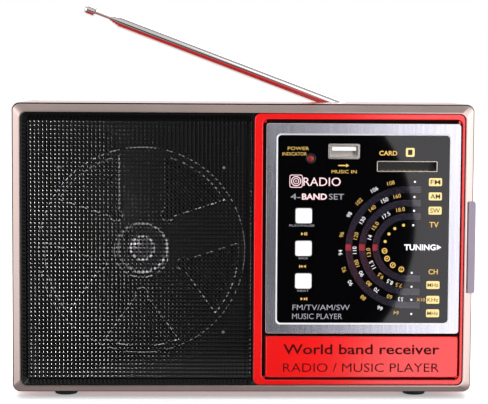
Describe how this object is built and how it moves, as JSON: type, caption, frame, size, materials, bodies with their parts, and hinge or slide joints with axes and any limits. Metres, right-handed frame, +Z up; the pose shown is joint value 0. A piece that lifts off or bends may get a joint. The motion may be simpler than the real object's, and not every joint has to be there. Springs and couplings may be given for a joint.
{
  "type": "shortwave receiver",
  "caption": "Portable shortwave receiver with a perforated speaker grille, a round tuning dial, a media player panel and a swivelling telescopic antenna.",
  "frame": {"origin": "on the table under the middle of the case, midway between the front and the back", "axes": "+X to the right seen from the front, +Y from the front to the back, +Z up"},
  "size_m": [0.2118, 0.07, 0.1818],
  "materials": {
    "red_cabinet": "glossy moulded",
    "red_panel": "glossy enamel",
    "black_housing": "glossy moulded",
    "silver_frame": "metallised, satin",
    "brushed_trim": "brushed",
    "grille_steel": "gloss black enamel",
    "speaker_black": "satin",
    "lens_acrylic": "polished",
    "window_acrylic": "polished smoke",
    "wheel_plastic": "satin",
    "dial_black": "matte",
    "brass_shaft": "turned",
    "cream_plastic": "satin",
    "white_key": "glossy",
    "black_plastic": "satin",
    "green_board": "solder mask",
    "brown_board": "paper laminate",
    "red_led": "clear red",
    "plated_steel": "nickel plated",
    "zinc_screw": "zinc plated",
    "ferrite": "matte",
    "copper_wire": "enamelled",
    "core_steel": "stacked sheet",
    "foot_rubber": "matte",
    "chrome_tube": "polished"
  },
  "bodies": {
    "case": {"rear_cabinet": "red_cabinet", "front_housing": "black_housing", "front_frame": "silver_frame", "grille_surround": "black_housing", "speaker_mesh": "grille_steel", "speaker_trim": "speaker_black", "front_panel": "red_panel", "trim_frame": "brushed_trim", "dial_lens": "lens_acrylic", "arc_windows": "window_acrylic", "name_plate": "red_panel", "wheel_guard": "wheel_plastic", "tuning_capacitor": "cream_plastic", "tact_switches": "black_plastic", "media_board": "green_board", "led": "red_led", "usb_shell": "plated_steel", "usb_tongue": "cream_plastic", "card_shell": "plated_steel", "card_contacts": "brass_shaft", "main_board": "brown_board", "volume_control": "plated_steel", "band_switch": "plated_steel", "function_switch": "plated_steel", "headphone_jack": "black_plastic", "ferrite_rod": "ferrite", "antenna_coils": "copper_wire", "if_cans": "plated_steel", "board_parts": "black_plastic", "transformer_core": "core_steel", "transformer_winding": "copper_wire", "mains_inlet": "black_plastic", "speaker_basket": "speaker_black", "speaker_magnet": "ferrite", "battery_tray": "black_plastic", "battery_contacts": "plated_steel", "feet": "foot_rubber", "cabinet_screws": "zinc_screw", "board_screws": "zinc_screw", "antenna_screw": "zinc_screw"},
    "tuning": {"tuning_wheel": "wheel_plastic", "dial_disc": "dial_black", "tuning_shaft": "brass_shaft", "wheel_screw": "zinc_screw"},
    "volume": {"volume_wheel": "wheel_plastic"},
    "band": {"band_knob": "black_plastic"},
    "function": {"function_knob": "black_plastic"},
    "play": {"play_button": "white_key"},
    "back": {"back_button": "white_key"},
    "next": {"next_button": "white_key"},
    "cone": {"speaker_cone": "speaker_black"},
    "door": {"battery_door": "red_cabinet"},
    "antenna_base": {"antenna_foot": "chrome_tube", "antenna_pin": "zinc_screw"},
    "antenna_arm": {"antenna_elbow": "chrome_tube", "antenna_tube_1": "chrome_tube"},
    "antenna_second": {"antenna_tube_2": "chrome_tube"},
    "antenna_third": {"antenna_tube_3": "chrome_tube"},
    "antenna_fourth": {"antenna_tube_4": "chrome_tube"},
    "antenna_tip": {"antenna_rod": "chrome_tube"}
  },
  "joints": [
    {"name": "tuning_turn", "type": "hinge", "parent": "case", "child": "tuning", "pos_m": [0.0746, -0.0276, 0.0699], "axis": [0, 1, 0], "range_deg": [-90, 90]},
    {"name": "volume_turn", "type": "hinge", "parent": "case", "child": "volume", "pos_m": [0.0935, -0.0025, 0.094], "axis": [0, 1, 0], "range_deg": [-150, 150]},
    {"name": "band_slide", "type": "slide", "parent": "case", "child": "band", "axis": [0, 0, -1], "range_m": [0, 0.009]},
    {"name": "function_slide", "type": "slide", "parent": "case", "child": "function", "axis": [0, 0, 1], "range_m": [-0.003, 0.003]},
    {"name": "play_press", "type": "slide", "parent": "case", "child": "play", "axis": [0, 1, 0], "range_m": [0, 0.0008], "stiffness_N_per_m": 300},
    {"name": "back_press", "type": "slide", "parent": "case", "child": "back", "axis": [0, 1, 0], "range_m": [0, 0.0008], "stiffness_N_per_m": 300},
    {"name": "next_press", "type": "slide", "parent": "case", "child": "next", "axis": [0, 1, 0], "range_m": [0, 0.0008], "stiffness_N_per_m": 300},
    {"name": "cone_move", "type": "slide", "parent": "case", "child": "cone", "axis": [0, 1, 0], "range_m": [-0.0008, 0.0008], "stiffness_N_per_m": 600},
    {"name": "door_hinge", "type": "hinge", "parent": "case", "child": "door", "pos_m": [-0.004, 0.0334, 0.0096], "axis": [-1, 0, 0], "range_deg": [0, 90]},
    {"name": "antenna_swivel", "type": "hinge", "parent": "case", "child": "antenna_base", "pos_m": [0.097, 0.0295, 0.1151], "axis": [0, 1, 0], "range_deg": [-20.55, 159.45]},
    {"name": "antenna_lean", "type": "hinge", "parent": "antenna_base", "child": "antenna_arm", "pos_m": [0.08857, 0.0295, 0.11826], "axis": [-0.351, 0, -0.9364], "range_deg": [0, 90]},
    {"name": "antenna_pull_2", "type": "slide", "parent": "antenna_arm", "child": "antenna_second", "axis": [-0.9364, 0, 0.351], "range_m": [0, 0.14]},
    {"name": "antenna_pull_3", "type": "slide", "parent": "antenna_second", "child": "antenna_third", "axis": [-0.9364, 0, 0.351], "range_m": [0, 0.14]},
    {"name": "antenna_pull_4", "type": "slide", "parent": "antenna_third", "child": "antenna_fourth", "axis": [-0.9364, 0, 0.351], "range_m": [0, 0.14]},
    {"name": "antenna_pull_tip", "type": "slide", "parent": "antenna_fourth", "child": "antenna_tip", "axis": [-0.9364, 0, 0.351], "range_m": [0, 0.145]}
  ]
}
